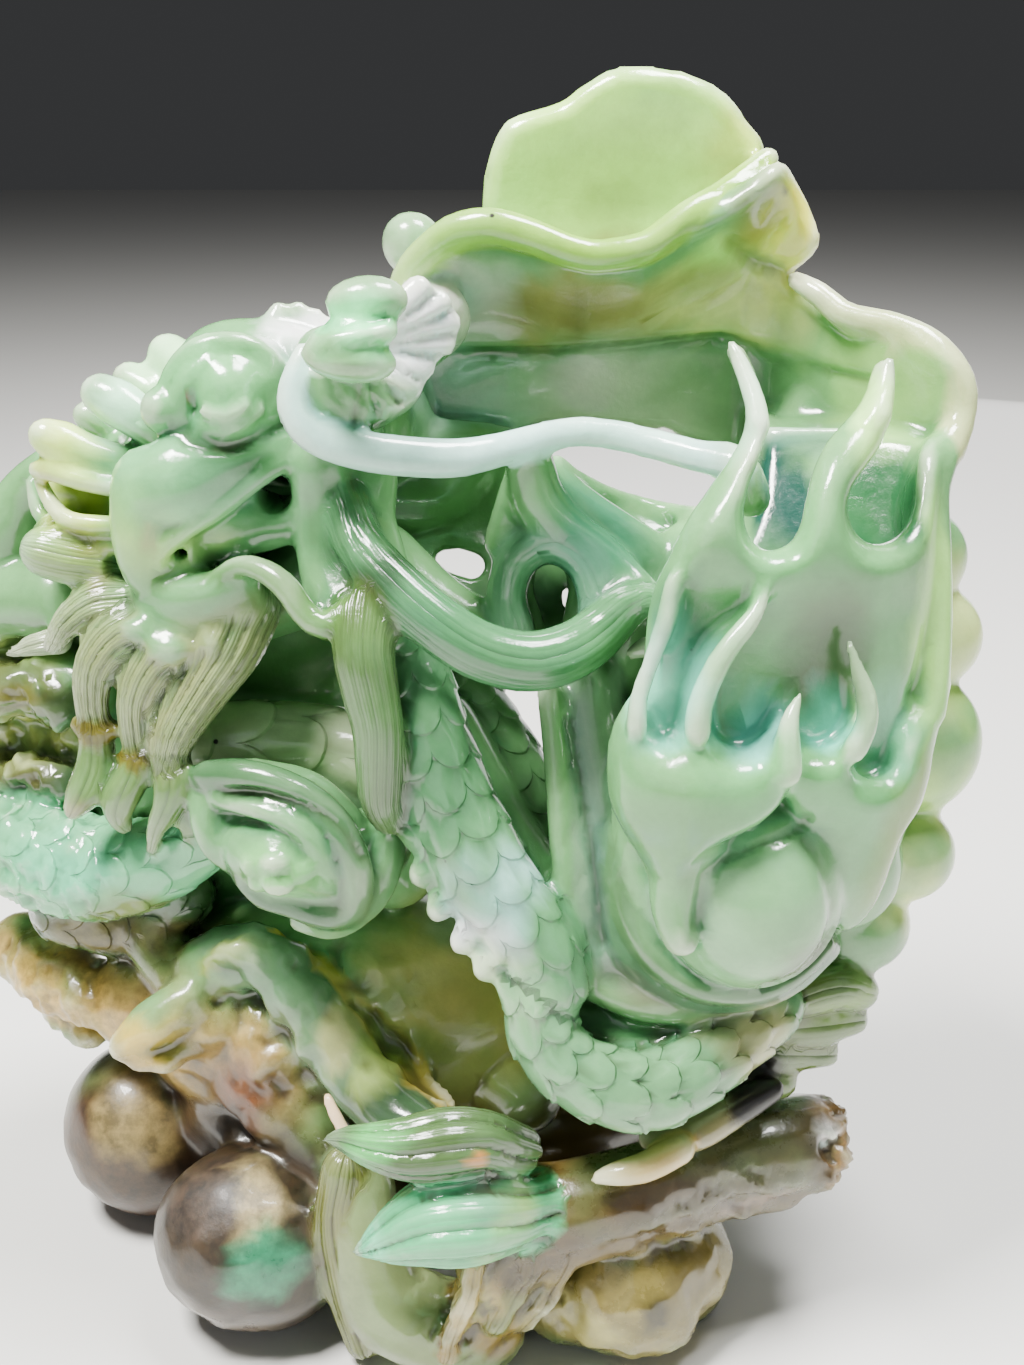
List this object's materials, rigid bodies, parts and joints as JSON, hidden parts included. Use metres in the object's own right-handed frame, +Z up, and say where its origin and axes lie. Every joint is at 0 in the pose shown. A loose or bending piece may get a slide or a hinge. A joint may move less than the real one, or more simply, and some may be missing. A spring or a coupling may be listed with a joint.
{
  "type": "calcite dragon carving",
  "caption": "Carved green calcite dragon with mane, flaming pearl, cloud screen and scaled coils over a rock base; a shelf ornament that stands by its own weight.",
  "frame": {"origin": "middle of the bounding box's base, on the ground", "axes": "+Z up; -Y is the carved front, where the dragon's head and the pearl face; +X is the viewer's right, towards the flame"},
  "size_m": [0.1703, 0.0952, 0.1937],
  "materials": {
    "calcite": "polished translucent pale green calcite, with turquoise and brown-grey zones, dirt in the grooves and small rust spots"
  },
  "bodies": {
    "root": {"dragon_carving": "calcite"}
  },
  "joints": []
}
